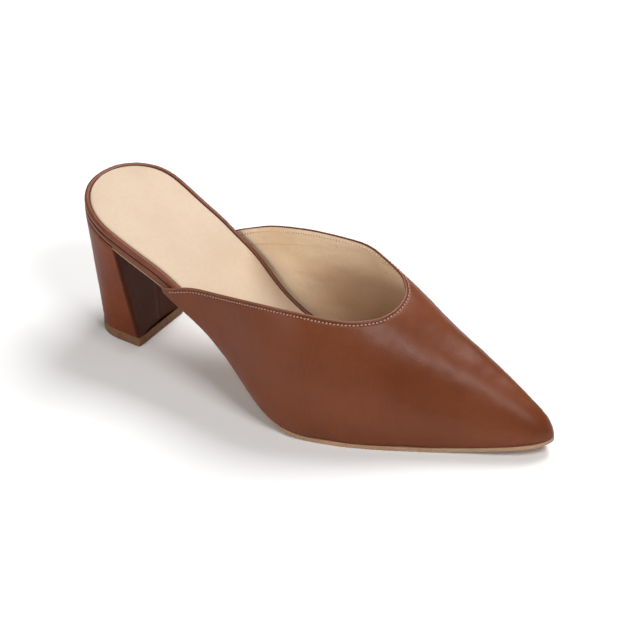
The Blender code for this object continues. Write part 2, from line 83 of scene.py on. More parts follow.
# station, ridge's side, ridge's height, fullness outer and inner, swell outer and inner
lastTable = [
    (0.25, 0.015, 1.270, 2.50, 2.50, 0.016, 0.020),
    (0.32, 0.044, 1.340, 2.50, 2.50, 0.016, 0.040),
    (0.40, 0.088, 1.380, 2.50, 2.50, 0.018, 0.070),
    (0.48, 0.142, 1.380, 2.60, 2.60, 0.018, 0.060),
    (0.56, 0.176, 1.280, 2.65, 2.85, 0.016, 0.030),
    (0.62, 0.184, 1.130, 2.60, 2.90, 0.016, 0.018),
    (0.69, 0.179, 0.978, 2.40, 2.65, 0.016, 0.016),
    (0.77, 0.201, 0.766, 2.30, 2.50, 0.016, 0.016),
    (0.82, 0.227, 0.652, 2.20, 2.45, 0.016, 0.016),
    (0.87, 0.245, 0.524, 2.20, 2.40, 0.016, 0.016),
    (0.92, 0.257, 0.385, 2.20, 2.35, 0.014, 0.014),
    (0.96, 0.267, 0.252, 2.20, 2.30, 0.010, 0.010),
    (1.00, 0.269, 0.120, 2.20, 2.20, 0.006, 0.006),
]

# station, share up the wall: below 1 on the outer side, and the inner side counts on from 1 to 2
toplineTable = [
    (0.258, 0.030), (0.284, 0.090), (0.320, 0.180), (0.370, 0.280), (0.425, 0.385),
    (0.480, 0.478), (0.535, 0.548), (0.590, 0.606), (0.635, 0.662), (0.663, 0.722),
    (0.680, 0.780), (0.6885, 0.838), (0.6920, 0.895), (0.6915, 0.950), (0.6880, 1.005),
    (0.6810, 1.060), (0.6660, 1.122), (0.6420, 1.178), (0.6000, 1.212), (0.5600, 1.255),
    (0.5150, 1.322), (0.4650, 1.405), (0.4150, 1.520), (0.3650, 1.660), (0.3200, 1.795),
    (0.2840, 1.900), (0.258, 1.975),
]


def smoothCurve(places, values):
    # cubic curve through the values, free at both ends
    x, y = np.array(places, float), np.array(values, float)
    step, rise = np.diff(x), np.diff(y)
    n = len(x)
    system, target = np.eye(n), np.zeros(n)
    for i in range(1, n - 1):
        system[i, i - 1:i + 2] = step[i - 1], 2 * (step[i - 1] + step[i]), step[i]
        target[i] = 6 * (rise[i] / step[i] - rise[i - 1] / step[i - 1])
    bend = np.linalg.solve(system, target)

    def valueAt(place):
        i = np.clip(np.searchsorted(x, place) - 1, 0, n - 2)
        before, after = place - x[i], x[i + 1] - place
        return ((bend[i] * after ** 3 + bend[i + 1] * before ** 3) / (6 * step[i])
                + (y[i] / step[i] - bend[i] * step[i] / 6) * after
                + (y[i + 1] / step[i] - bend[i + 1] * step[i] / 6) * before)

    return valueAt


def column(table, index, unit=1.0):
    return smoothCurve([row[0] for row in table], [row[index] * unit for row in table])


shankRise = column(shankTable, 1, shoe["heelHeight"])
openOuter = column(outlineTable, 1, shoe["ballWidth"])
openInner = column(outlineTable, 2, shoe["ballWidth"])
ridgeSide = column(lastTable, 1, shoe["ballWidth"])
ridgeHeight = column(lastTable, 2, shoe["throatHeight"])
fullness = {-1: column(lastTable, 3), 1: column(lastTable, 4)}
swell = {-1: column(lastTable, 5, shoe["ballWidth"]), 1: column(lastTable, 6, shoe["ballWidth"])}


def underside(station):
    station = np.asarray(station, float)
    spring = np.clip((station - shoe["springStart"]) / (1 - shoe["springStart"]), 0, None)
    rise = np.where(station < 0.60, shankRise(station), 0.0)
    return rise + shoe["toeSpring"] * spring ** 2


def layerHeight(x, thickness):
    # a surface that lies this far over the underside, measured square to it
    station, reach = np.asarray(x, float) / shoe["length"], 0.003
    slope = (underside(station + reach) - underside(station - reach)) / (2 * reach * shoe["length"])
    return underside(station) + thickness * np.sqrt(1 + slope ** 2)


def outlineSides(station):
    back = np.clip(1 - station / shoe["seatRounding"], 0, 1)
    seat = (1 - back ** shoe["seatFullness"]) ** (1 / shoe["seatFullness"])
    front = np.clip(1 - (1 - station) * shoe["length"] / shoe["toeRounding"], 0, 1)
    left = seat * np.sqrt(1 - front ** 2)
    outer, inner = openOuter(station), openInner(station)
    middle = (outer + inner) / 2
    return middle + (outer - middle) * left, middle + (inner - middle) * left


def middleLine(x):
    outer, inner = outlineSides(np.clip(np.asarray(x, float) / shoe["length"], 0, 1))
    return (outer + inner) / 2


denseStation = (1 - np.cos(np.linspace(0, math.pi, 600))) / 2
denseOuter, denseInner = outlineSides(denseStation)
denseX = np.concatenate([denseStation, denseStation]) * shoe["length"]
denseY = np.concatenate([denseOuter, denseInner])


def depthInside(x, y):
    # how far a point lies inside the sole's outline
    station = np.clip(x / shoe["length"], 0, 1)
    outer, inner = outlineSides(station)
    away = np.hypot(x[:, None] - denseX, y[:, None] - denseY).min(axis=1)
    inside = (y > outer) & (y < inner) & (x > 0) & (x < shoe["length"])
    return np.where(inside, away, -away)


def bisect(near, far, good, rounds=18):
    # the last place that is still good between a good one and one that isn't
    near, far = np.array(near, float), np.array(far, float)
    for _ in range(rounds):
        middle = (near + far) / 2
        kept = good(middle)
        near, far = np.where(kept, middle, near), np.where(kept, far, middle)
    return near


def insetSides(x, inset):
    middle, reach = middleLine(x), np.full(len(x), shoe["ballWidth"])
    outer = bisect(middle, middle - reach, lambda y: depthInside(x, y) >= inset)
    inner = bisect(middle, middle + reach, lambda y: depthInside(x, y) >= inset)
    return outer, inner


def insetEnds(insetAt):
    def kept(x):
        return depthInside(x, middleLine(x)) >= insetAt(x)

    half = np.array([shoe["length"] / 2])
    back = bisect(half, np.array([-0.005]), kept, 26)[0]
    tip = bisect(half, np.array([shoe["length"] + 0.005]), kept, 26)[0]
    return back, tip


def toRow(x, y, z):
    x, y, z = np.broadcast_arrays(np.asarray(x, float) - shoe["originX"], y, z)
    return np.stack([x, y, z], axis=-1)


def upperMargin(x):
    # the upper stands this far inside the sole's outline
    return 0.0004 * np.clip((x / shoe["length"] - 0.56) / 0.06, 0, 1)


def slipInset(x):
    # the footbed is narrower where the upper encloses it
    station = x / shoe["length"]
    share = np.clip((station - shoe["slipStart"]) / shoe["slipRun"], 0, 1)
    toe = np.clip((station - 0.88) / 0.12, 0, 1)
    return (upperMargin(x) + shoe["slip"]) * (share ** 2 * (3 - 2 * share) + 2 * toe)


def waistInset(x, height):
    # the sheet's edge is pared away underneath at the waist
    place = np.clip((x / shoe["length"] - 0.02) / 0.54, 0, 1)
    bow = np.clip(np.sin(math.pi * place), 0, 1) ** 0.6
    pared = shoe["pareDepth"] * (1 - height / shoe["outsole"]) * bow
    return pared + shoe["waistDraw"] * np.sin(math.pi * np.clip(place * 1.17 - 0.17, 0, 1)) ** 2


def gauss(value, middle, width):
    return np.exp(-((value - middle) / width) ** 2)


def waves(points, size, seed):
    # slow uneven rise and fall over a surface, about -1 to 1
    shift = Vector((seed * 7.3, seed * 3.1, seed * 5.7))
    return np.array([noise.noise(Vector(p) / size + shift) for p in points]) * 1.8


def quads(low, high, closed=False):
    # four-sided faces between two rows of points
    low, high = list(low), list(high)
    if closed:
        low, high = low + low[:1], high + high[:1]
    return [(low[i], low[i + 1], high[i + 1], high[i]) for i in range(len(low) - 1)]


def tubeFaces(first, around, count):
    # a closed tube of this many lines of points, with a flat face at both ends
    faces = []
    for k in range(around):
        a, b = first + k * count, first + (k + 1) % around * count
        faces += quads(range(a, a + count), range(b, b + count))
    faces.append([first + k * count for k in range(around)])
    faces.append([first + k * count + count - 1 for k in range(around)][::-1])
    return faces


def unitRows(vectors):
    return vectors / np.maximum(np.linalg.norm(vectors, axis=1, keepdims=True), 1e-12)


def runAlong(line):
    # length along a line of points, from its first one
    return np.append(0, np.cumsum(np.linalg.norm(np.diff(line, axis=0), axis=1)))


def meshPlaces(piece):
    places = np.empty(len(piece.data.vertices) * 3)
    piece.data.vertices.foreach_get("co", places)
    return places.reshape(-1, 3)


def storeValues(piece, name, values):
    # a number at each point, for the material to read
    store = piece.data.attributes.new(name, "FLOAT", "POINT")
    store.data.foreach_set("value", np.asarray(values, np.float32))


def newPiece(name, vertices, faces, materials, slots=None, sharp=None):
    work = bmesh.new()
    made = [work.verts.new(v) for v in vertices]
    for index, face in enumerate(faces):
        if len(set(face)) < 3:
            continue
        try:
            added = work.faces.new([made[i] for i in face])
        except ValueError:
            continue  # the same face again
        added.smooth = True
        if slots is not None:
            added.material_index = int(slots[index])
    bmesh.ops.remove_doubles(work, verts=work.verts, dist=2e-6)
    bmesh.ops.dissolve_degenerate(work, edges=work.edges, dist=1e-6)
    bmesh.ops.recalc_face_normals(work, faces=work.faces)
    mesh = bpy.data.meshes.new(name)
    work.to_mesh(mesh)
    work.free()
    if sharp is not None:
        mesh.set_sharp_from_angle(angle=math.radians(sharp))
    for used in materials:
        mesh.materials.append(used)
    piece = bpy.data.objects.new(name, mesh)
    bpy.context.collection.objects.link(piece)
    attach(piece, "root")  # nothing on the shoe moves
    return piece


# Shader helpers: small wrappers so that each material below reads as a recipe
def linear(colour):
    return tuple(((c / 255 + 0.055) / 1.055) ** 2.4 for c in colour) + (1.0,)


def fill(tree, node, sockets):
    # each value is linked in where it comes from another node, and set where it is plain
    for name, value in sockets.items():
        if isinstance(value, bpy.types.NodeSocket):
            tree.links.new(value, node.inputs[name])
        elif value is not None:
            node.inputs[name].default_value = value


def addNode(tree, kind, sockets=None, **settings):
    made = tree.nodes.new(kind)
    for name, value in settings.items():
        setattr(made, name, value)
    fill(tree, made, sockets or {})
    return made


def mathNode(tree, operation, first, second=None):
    return addNode(tree, "ShaderNodeMath", {0: first, 1: second}, operation=operation).outputs[0]


def times(tree, first, second):
    return mathNode(tree, "MULTIPLY", first, second)


def vectorNode(tree, operation, sockets):
    return addNode(tree, "ShaderNodeVectorMath", sockets, operation=operation).outputs[0]


def noiseNode(tree, place, scale, detail=2, roughness=0.5):
    sockets = {"Vector": place, "Scale": scale, "Detail": detail, "Roughness": roughness}
    return addNode(tree, "ShaderNodeTexNoise", sockets).outputs


def groupNode(tree, group, sockets):
    return addNode(tree, "ShaderNodeGroup", sockets, node_tree=group).outputs


def mixColour(tree, share, first, second):
    return addNode(tree, "ShaderNodeMix", {0: share, 6: first, 7: second}, data_type="RGBA").outputs[2]


def tint(tree, colour, mask, share, shade):
    return mixColour(tree, times(tree, mask, share), colour, linear(shade))


def spread(tree, value, low, high, toLow=0.0, toHigh=1.0, soft=True):
    sockets = {"Value": value, "From Min": low, "From Max": high, "To Min": toLow, "To Max": toHigh}
    kind = "SMOOTHSTEP" if soft else "LINEAR"
    return addNode(tree, "ShaderNodeMapRange", sockets, interpolation_type=kind).outputs[0]


def newGroup(name, inputs, outputs):
    group = bpy.data.node_groups.new(name, "ShaderNodeTree")
    place = group.interface.new_socket("Place", in_out="INPUT", socket_type="NodeSocketVector")
    place.default_value = (0, 0, 0)
    for label, default in inputs.items():
        made = group.interface.new_socket(label, in_out="INPUT", socket_type="NodeSocketFloat")
        made.default_value = default
    for label in outputs:
        group.interface.new_socket(label, in_out="OUTPUT", socket_type="NodeSocketFloat")
    return group, addNode(group, "NodeGroupInput").outputs, addNode(group, "NodeGroupOutput")


def makeGrainGroup():
    # leather grain: fine pebbles, drawn-out wrinkles and pores, as a height
    group, given, out = newGroup("leatherGrain", {"Pebble": 1800.0, "Wrinkle": 0.3, "Pores": 0.3},
                                 ["Height", "Valley"])
    place, size = given["Place"], given["Pebble"]
    warp = noiseNode(group, place, 260, 3)["Color"]
    shift = vectorNode(group, "SCALE", {0: warp, "Scale": 0.0011})
    bent = vectorNode(group, "ADD", {0: place, 1: shift})
    pebble = addNode(group, "ShaderNodeTexVoronoi", {"Smoothness": 0.6, "Vector": bent, "Scale": size},
                     feature="SMOOTH_F1").outputs["Distance"]
    fine = noiseNode(group, bent, times(group, size, 0.32), 6, 0.62)["Fac"]
    pore = addNode(group, "ShaderNodeTexVoronoi", {"Vector": place, "Scale": times(group, size, 0.55)})
    pit = times(group, spread(group, pore.outputs["Distance"], 0.05, 0.22, 1.0, 0.0), given["Pores"])
    dome = times(group, pebble, -0.6)
    crease = times(group, fine, given["Wrinkle"])
    height = mathNode(group, "SUBTRACT", mathNode(group, "ADD", dome, crease), pit)
    fill(group, out, {"Height": height, "Valley": spread(group, pebble, 0.35, 0.75)})
    return group


def makeMottleGroup():
    # slow cloudy change in dye and polish, in two sizes, with a few faint scuffs
    group, given, out = newGroup("dyeMottle", {"Cloud Size": 0.03, "Fleck Size": 0.003},
                                 ["Cloud", "Fleck", "Scuff"])
    place = given["Place"]

    def cloud(size, detail, low, high, shift):
        moved = vectorNode(group, "ADD", {0: place, 1: (shift, shift * 0.7, shift * 1.3)})
        made = noiseNode(group, moved, mathNode(group, "DIVIDE", 1.0, size), detail)
        return spread(group, made["Fac"], low, high)

    stretched = vectorNode(group, "MULTIPLY", {0: place, 1: (90, 420, 700)})
    scuff = noiseNode(group, stretched, 5, 5)["Fac"]
    fill(group, out, {"Cloud": cloud(given["Cloud Size"], 3, 0.3, 0.7, 0.13),
                      "Fleck": cloud(given["Fleck Size"], 4, 0.35, 0.7, 0.31),
                      "Scuff": spread(group, scuff, 0.62, 0.74)})
    return group


leatherGrain = makeGrainGroup()
dyeMottle = makeMottleGroup()


def newMaterial(name):
    made = bpy.data.materials.new(name)
    made.use_nodes = True
    tree = made.node_tree
    return made, tree, tree.nodes["Principled BSDF"], addNode(tree, "ShaderNodeTexCoord").outputs["Object"]


def attribute(tree, name):
    return addNode(tree, "ShaderNodeAttribute", attribute_name=name).outputs["Fac"]


def addBump(tree, surface, height, distance, after=None):
    bump = addNode(tree, "ShaderNodeBump", {"Distance": distance, "Height": height, "Normal": after})
    fill(tree, surface, {"Normal": bump.outputs["Normal"]})


def dyedColour(tree, place, look):
    # cloudy change between two dyes, with flecks of a third
    mottle = groupNode(tree, dyeMottle, {"Place": place, "Cloud Size": look["cloudSize"],
                                         "Fleck Size": look["fleckSize"]})
    colour = mixColour(tree, mottle["Cloud"], linear(look["dark"]), linear(look["light"]))
    return tint(tree, colour, mottle["Fleck"], look["fleckShare"], look["fleck"]), mottle


def grainedColour(tree, place, look):
    # the dye with darker valleys between the pebbles of the grain
    grain = groupNode(tree, leatherGrain, {"Place": place, "Pebble": look["pebble"],
                                           "Wrinkle": look["wrinkle"], "Pores": look["pores"]})
    colour, mottle = dyedColour(tree, place, look)
    return tint(tree, colour, grain["Valley"], look["valleyShare"], look["valley"]), mottle, grain["Height"]


def leatherMaterial(name, look):
    # smooth dyed leather: cloudy dye, darker valleys, soft polish and fine grain
    made, tree, surface, place = newMaterial(name)
    colour, mottle, height = grainedColour(tree, place, look)
    # painted shade: the heel's breast is darkened as if in the shadow under the shank
    if look.get("paintedBreastShade"):
        colour = mixColour(tree, attribute(tree, "paintedBreastShade"), colour, linear(look["paintedBreastShade"]))
    # painted shade in the grooves where the rolls meet the sock and each other
    if look.get("paintedGrooveShade"):
        colour = tint(tree, colour, attribute(tree, "paintedGrooveShade"), 0.8, look["paintedGrooveShade"])
    if look.get("edge"):
        # painted shade beside the fold, and a painted highlight on its crest
        distance = attribute(tree, "fromEdge")
        near = spread(tree, distance, 0.0006, look["foldShadeReach"], look["foldShadeShare"], 0.0)
        colour = mixColour(tree, near, colour, linear(look["edge"]))
        paintedCrestHighlight = spread(tree, distance, 0.0001, look["paintedCrestHighlightReach"], look["paintedCrestHighlightShare"], 0.0)
        colour = mixColour(tree, paintedCrestHighlight, colour, linear(look["paintedCrestHighlight"]))
    rough = spread(tree, mottle["Cloud"], 0, 1, look["rough"] - 0.04, look["rough"] + 0.05, soft=False)
    rough = mathNode(tree, "ADD", rough, times(tree, mottle["Scuff"], 0.10))
    fill(tree, surface, {"Base Color": colour, "Roughness": rough, "Coat Weight": look["coat"], "IOR": 1.48,
                         "Coat Roughness": look["coatRough"], "Specular IOR Level": look["gloss"]})
    wave = noiseNode(tree, place, look["waveScale"])["Fac"]
    slow = addNode(tree, "ShaderNodeBump", {"Distance": look["waveDepth"], "Height": wave})
    addBump(tree, surface, height, look["grainDepth"], after=slow.outputs["Normal"])
    return made


# its "edge" colour is painted shade beside the fold, and its crest colour a painted highlight
upperLeather = leatherMaterial("upperLeather", {
    "dark": (103, 49, 21), "light": (117, 58, 26), "fleck": (110, 52, 24), "fleckShare": 0.30,
    "valley": (96, 50, 28), "valleyShare": 0.22, "edge": (78, 38, 23), "foldShadeShare": 0.6, "foldShadeReach": 0.0013,
    "paintedCrestHighlight": (158, 102, 76), "paintedCrestHighlightShare": 0.45, "paintedCrestHighlightReach": 0.0004, "pebble": 1500.0, "wrinkle": 0.5,
    "pores": 0.20, "cloudSize": 0.040, "fleckSize": 0.0028, "rough": 0.41, "gloss": 0.26, "coat": 0.03,
    "coatRough": 0.30, "waveScale": 42.0, "waveDepth": 0.0012, "grainDepth": 0.00007,
})
bindingLeather = leatherMaterial("bindingLeather", {
    "dark": (108, 57, 35), "light": (126, 69, 44), "fleck": (118, 62, 38), "fleckShare": 0.3,
    "valley": (88, 48, 30), "valleyShare": 0.22, "paintedGrooveShade": (44, 22, 15), "pebble": 1900.0, "wrinkle": 0.5,
    "pores": 0.2, "cloudSize": 0.012, "fleckSize": 0.0022, "rough": 0.40, "gloss": 0.25, "coat": 0.04,
    "coatRough": 0.3, "waveScale": 160.0, "waveDepth": 0.0003, "grainDepth": 0.00006,
})
# the heel's wrap; its breast takes a painted shade colour
heelLeather = leatherMaterial("heelLeather", {
    "dark": (106, 50, 27), "light": (124, 62, 34), "fleck": (115, 55, 30), "fleckShare": 0.3,
    "valley": (84, 43, 25), "valleyShare": 0.18, "paintedBreastShade": (74, 35, 18), "pebble": 1700.0, "wrinkle": 0.45,
    "pores": 0.15, "cloudSize": 0.022, "fleckSize": 0.0026, "rough": 0.40, "gloss": 0.06, "coat": 0.02,
    "coatRough": 0.28, "waveScale": 70.0, "waveDepth": 0.0006, "grainDepth": 0.00005,
})


def liningMaterial(name, look):
    # smooth unpolished lining leather; the seam lies a set way below the edge
    made, tree, surface, place = newMaterial(name)
    colour, mottle, grain = grainedColour(tree, place, look)
    height = times(tree, grain, look["grainDepth"])
    if look.get("seam"):
        distance, seam = attribute(tree, "fromEdge"), look["seam"]
        along = addNode(tree, "ShaderNodeSeparateXYZ", {0: place}).outputs["X"]
        rear = spread(tree, along, 0.060, 0.095, 1.0, 0.15)
        step = spread(tree, distance, seam - 0.0003, seam + 0.0003, look["seamStep"], 0.0)
        height = mathNode(tree, "ADD", height, times(tree, step, rear))
        fromSeam = mathNode(tree, "ABSOLUTE", mathNode(tree, "SUBTRACT", distance, seam + 0.0003))
        line = times(tree, spread(tree, fromSeam, 0.0, 0.0006, 1.0, 0.0), rear)
        colour = tint(tree, colour, line, 0.16, look["valley"])
        # painted shade: the lining darkens towards the toe and low down, where the vamp and the near wing
        # shade it
        low = spread(tree, distance, 0.006, 0.024, 0.0, look["paintedToeShadeShare"])
        paintedToeShade = times(tree, spread(tree, along, 0.066, 0.106), low)
        colour = mixColour(tree, paintedToeShade, colour, linear(look["paintedToeShade"]))
    rough = spread(tree, mottle["Cloud"], 0, 1, look["rough"] - 0.05, look["rough"] + 0.05, soft=False)
    fill(tree, surface, {"Base Color": colour, "Roughness": rough, "Specular IOR Level": 0.3,
                         "Sheen Weight": 0.08, "Sheen Roughness": 0.5})
    addBump(tree, surface, height, 1.0)
    return made


liningLeather = liningMaterial("liningLeather", {
    "dark": (243, 215, 181), "light": (249, 226, 194), "fleck": (237, 206, 170), "fleckShare": 0.18,
    "valley": (206, 166, 128), "valleyShare": 0.12, "pebble": 1300.0, "wrinkle": 0.5, "pores": 0.25,
    "cloudSize": 0.020, "fleckSize": 0.0024, "rough": 0.58, "grainDepth": 0.00006, "seam": 0.0068,
    "seamStep": 0.00012, "paintedToeShade": (150, 108, 76), "paintedToeShadeShare": 0.68,
})
sockLeather = liningMaterial("sockLeather", {
    "dark": (199, 175, 149), "light": (208, 186, 162), "fleck": (193, 168, 140), "fleckShare": 0.18,
    "valley": (179, 150, 120), "valleyShare": 0.12, "pebble": 1400.0, "wrinkle": 0.5, "pores": 0.25,
    "cloudSize": 0.028, "fleckSize": 0.0024, "rough": 0.60, "grainDepth": 0.00005,
})


def threadMaterial(name, colour, dark):
    # twisted thread: fine bands across each stitch
    made, tree, surface, place = newMaterial(name)
    twist = addNode(tree, "ShaderNodeTexWave", {"Scale": 900, "Distortion": 1.5, "Vector": place},
                    bands_direction="DIAGONAL").outputs["Fac"]
    bands = mixColour(tree, twist, linear(dark), linear(colour))
    fill(tree, surface, {"Base Color": bands, "Roughness": 0.55})
    addBump(tree, surface, twist, 0.00006)
    return made


pinkThread = threadMaterial("pinkThread", (205, 160, 137), (162, 118, 96))
paleThread = threadMaterial("paleThread", (255, 238, 216), (236, 210, 182))
# hole colours: partly the needle holes' own darkness, partly painted shade round the stitches
holeShade = threadMaterial("needleHoleShadeLeather", (56, 28, 18), (36, 18, 12))
liningShade = threadMaterial("liningHoleShadeLeather", (170, 130, 98), (140, 104, 76))


def soleMaterial(name, look):
    # moulded sheet: faint streaks of the press, small specks and a dusty bloom
    made, tree, surface, place = newMaterial(name)
    colour, mottle = dyedColour(tree, place, look)
    colour = tint(tree, colour, mottle["Scuff"], look["scuff"], look["bloom"])
    rough = spread(tree, mottle["Fleck"], 0, 1, look["rough"] - 0.06, look["rough"] + 0.08, soft=False)
    fill(tree, surface, {"Base Color": colour, "Roughness": rough, "Specular IOR Level": 0.2})
    addBump(tree, surface, noiseNode(tree, place, look["grainScale"], 6)["Fac"], look["grainDepth"])
    return made


outsoleSheet = soleMaterial("outsoleSheet", {
    "dark": (167, 131, 103), "light": (184, 150, 122), "fleck": (146, 110, 82), "fleckShare": 0.35,
    "bloom": (198, 172, 146), "scuff": 0.3, "cloudSize": 0.02, "fleckSize": 0.0012, "rough": 0.5,
    "grainScale": 1600.0, "grainDepth": 0.00005,
})
liftRubber = soleMaterial("liftRubber", {
    "dark": (112, 78, 52), "light": (132, 96, 68), "fleck": (94, 66, 44), "fleckShare": 0.35,
    "bloom": (146, 116, 90), "scuff": 0.25, "cloudSize": 0.01, "fleckSize": 0.0009, "rough": 0.55,
    "grainScale": 2200.0, "grainDepth": 0.00006,
})


def pinMaterial():
    # small steel pins that hold the lift, dull with tarnish
    made, tree, surface, place = newMaterial("liftPinSteel")
    speck = noiseNode(tree, place, 900)["Fac"]
    colour = mixColour(tree, speck, linear((120, 112, 104)), linear((176, 170, 162)))
    fill(tree, surface, {"Base Color": colour, "Metallic": 1.0, "Roughness": 0.38})
    addBump(tree, surface, speck, 0.00003)
    return made


liftPinSteel = pinMaterial()
print("materials ready")


# The last as one skin: a place on it is (run along the ridge, signed length down from the ridge)
tipX = insetEnds(upperMargin)[1]
noseX = tipX - shoe["tipRounding"] * shoe["length"]
sectionX = np.concatenate([
    np.linspace(0.245 * shoe["length"], noseX, 170)[:-1],
    tipX - (tipX - noseX) * np.linspace(1, 0, 40) ** 2,
])
sectionOuter, sectionInner = insetSides(sectionX, upperMargin(sectionX))
sectionOuter[-1] = sectionInner[-1] = middleLine(sectionX[-1:])[0]


def halfSection(x, side):
    # the last's curve at each x, from the lasted edge up to the ridge
    station = x / shoe["length"]
    closing = np.clip((x - noseX) / (tipX - noseX), 0, 1)
    height = np.maximum(ridgeHeight(station) * np.sqrt(1 - closing ** 3), 2e-6)
    edge = np.interp(x, sectionX, sectionOuter if side < 0 else sectionInner)
    tuck = swell[side](station)
    tuckHeight = np.minimum(shoe["swellHeight"] * np.sqrt(tuck / shoe["ballWidth"]), height / 2)
    # close to the tip the ridge runs into the outline's own middle line
    ridge = ridgeSide(station) + (middleLine(x) - ridgeSide(station)) * closing ** 4
    tuck = tuck * (1 - closing ** 2)
    width = side * (edge - ridge) + tuck
    power = (2 / fullness[side](station))[:, None]
    turn = np.linspace(0, math.pi / 2, 181)[None, :]
    up = height[:, None] * np.sin(turn) ** power
    out = width[:, None] * np.clip(np.cos(turn), 0, 1) ** power
    out = out - tuck[:, None] * np.clip(1 - up / tuckHeight[:, None], 0, 1) ** 2
    steps = np.hypot(np.diff(up, axis=1), np.diff(out, axis=1))
    length = np.concatenate([np.zeros((len(x), 1)), np.cumsum(steps, axis=1)], axis=1)
    y = ridge[:, None] + side * out
    z = layerHeight(x, shoe["outsole"] + shoe["gap"])[:, None] + up
    return length, y, z


ridgeCurve = halfSection(sectionX, -1)
ridgeRun = np.append(0, np.cumsum(np.hypot(np.diff(sectionX), np.diff(ridgeCurve[2][:, -1]))))
girth = {-1: ridgeCurve[0][:, -1], 1: halfSection(sectionX, 1)[0][:, -1]}


def lastPoints(places):
    # from (run, signed length) to points on the last, in the shoe's frame
    places = np.asarray(places, float)
    x = np.interp(places[:, 0], ridgeRun, sectionX)
    points = np.empty((len(x), 3))
    for side in (-1, 1):
        chosen = np.flatnonzero(places[:, 1] < 0 if side < 0 else places[:, 1] >= 0)
        for part in np.array_split(chosen, max(1, len(chosen) // 3000)):
            if len(part) == 0:
                continue
            length, y, z = halfSection(x[part], side)
            whole = np.interp(x[part], sectionX, girth[side])
            up = np.clip(1 - np.abs(places[part, 1]) / np.maximum(whole, 1e-9), 0, 1) * length[:, -1]
            i = np.clip((length < up[:, None]).sum(axis=1), 1, length.shape[1] - 1)
            row = np.arange(len(part))
            share = (up - length[row, i - 1]) / np.maximum(length[row, i] - length[row, i - 1], 1e-12)
            points[part] = toRow(x[part], y[row, i - 1] + (y[row, i] - y[row, i - 1]) * share,
                                 z[row, i - 1] + (z[row, i] - z[row, i - 1]) * share)
    return points


def lastNormals(places, reach=0.0004):
    ahead = lastPoints(places + [reach, 0]) - lastPoints(places - [reach, 0])
    across = lastPoints(places + [0, reach]) - lastPoints(places - [0, reach])
    return unitRows(np.cross(ahead, across))


def resample(line, step):
    run = runAlong(line)
    wanted = np.linspace(0, run[-1], max(2, int(round(run[-1] / step)) + 1))
    return np.stack([np.interp(wanted, run, line[:, k]) for k in range(line.shape[1])], axis=1)


def placeOf(station, share):
    # a table's station and share as a place on the skin
    x = np.asarray(station) * shoe["length"]
    run = np.interp(x, sectionX, ridgeRun)
    outer, inner = np.interp(x, sectionX, girth[-1]), np.interp(x, sectionX, girth[1])
    return np.stack([run, np.where(share <= 1, -(1 - share) * outer, (share - 1) * inner)], axis=1)


knots = np.linspace(0, 1, len(toplineTable))
walk = np.linspace(0, 1, 1600)
toplineWalk = placeOf(smoothCurve(knots, [row[0] for row in toplineTable])(walk),
                      smoothCurve(knots, [row[1] for row in toplineTable])(walk))
print("last ready")


upperLook = {
    "wall": 0.0016,
    "edgeWall": 0.0010,  # skived thinner where it folds
    "skiveReach": 0.0032,
    "meshStep": 0.0013,  # between points of the open leather
    "edgeStep": 0.0007,  # between points along the topline
    "bead": 0.00008,  # how far the folded edge swells
    "beadAt": 0.0006,
    "beadWidth": 0.0010,
    "foldReach": 0.00045,
    "foldSteps": 8,
    "seamAt": 0.0015,  # topline to the row of stitches
    "seamDepth": 0.00032,
    "seamWidth": 0.00042,
    "seamEnd": 0.0045,  # bare length at the end of each wing
    "stitchPitch": 0.0021,
    "stitchLength": 0.0017,
    "stitchRadius": 0.00034,
    "stitchSlant": 0.00009,
    "stitchWobble": 0.00006,
    "flap": (0.0004, 0.0016, 0.0040, 0.0070),  # leather turned in under the shoe
    "undulation": 0.00025,
    "edgeRows": (0.00025, 0.0005, 0.00075, 0.0010, 0.00125, 0.0015, 0.0017, 0.0019, 0.0022, 0.0026,
                 0.003, 0.0036, 0.0044),  # rows of points beside the topline
    "edgeBand": 0.0052,  # the even field of points starts here
    "featherStep": 0.0009,
    "clearance": 0.0004,  # between points and the pattern's outline
    "noseReach": 0.012,  # finer points over this length at the toe
}
topline = resample(toplineWalk, upperLook["edgeStep"])
wingX = toplineTable[0][0] * shoe["length"]  # rear ends of both wings


def insidePolygon(points, polygon):
    a, b = polygon, np.roll(polygon, -1, axis=0)
    inside = np.zeros(len(points), bool)
    for part in np.array_split(np.arange(len(points)), max(1, len(points) // 4000)):
        px, py = points[part, 0:1], points[part, 1:2]
        crosses = (a[:, 1] > py) != (b[:, 1] > py)
        rise = np.where(b[:, 1] == a[:, 1], 1e-12, b[:, 1] - a[:, 1])
        at = a[:, 0] + (py - a[:, 1]) / rise * (b[:, 0] - a[:, 0])
        inside[part] = (crosses & (px < at)).sum(axis=1) % 2 == 1
    return inside


def nearestOn(points, line):
    # distance to a line of points, and how far along it that is
    start, move, run = line[:-1], np.diff(line, axis=0), runAlong(line)
    away, along = np.empty(len(points)), np.empty(len(points))
    for part in np.array_split(np.arange(len(points)), max(1, len(points) // 3000)):
        offset = points[part][:, None] - start
        share = np.clip((offset * move).sum(-1) / (move ** 2).sum(-1), 0, 1)
        gap = np.linalg.norm(offset - share[..., None] * move, axis=-1)
        best = gap.argmin(axis=1)
        row = np.arange(len(part))
        away[part] = gap[row, best]
        along[part] = run[best] + share[row, best] * (run[best + 1] - run[best])
    return away, along


def featherLine(side, firstX):
    # the lasted edge on the flat pattern, from a wing's rear end to the tip
    nose = tipX - (tipX - noseX) * np.linspace(1, 0, 60) ** 2
    x = np.concatenate([np.linspace(firstX, noseX, 200)[:-1], nose])
    run = np.interp(x, sectionX, ridgeRun)
    return np.stack([run, side * np.interp(x, sectionX, girth[side])], axis=1)


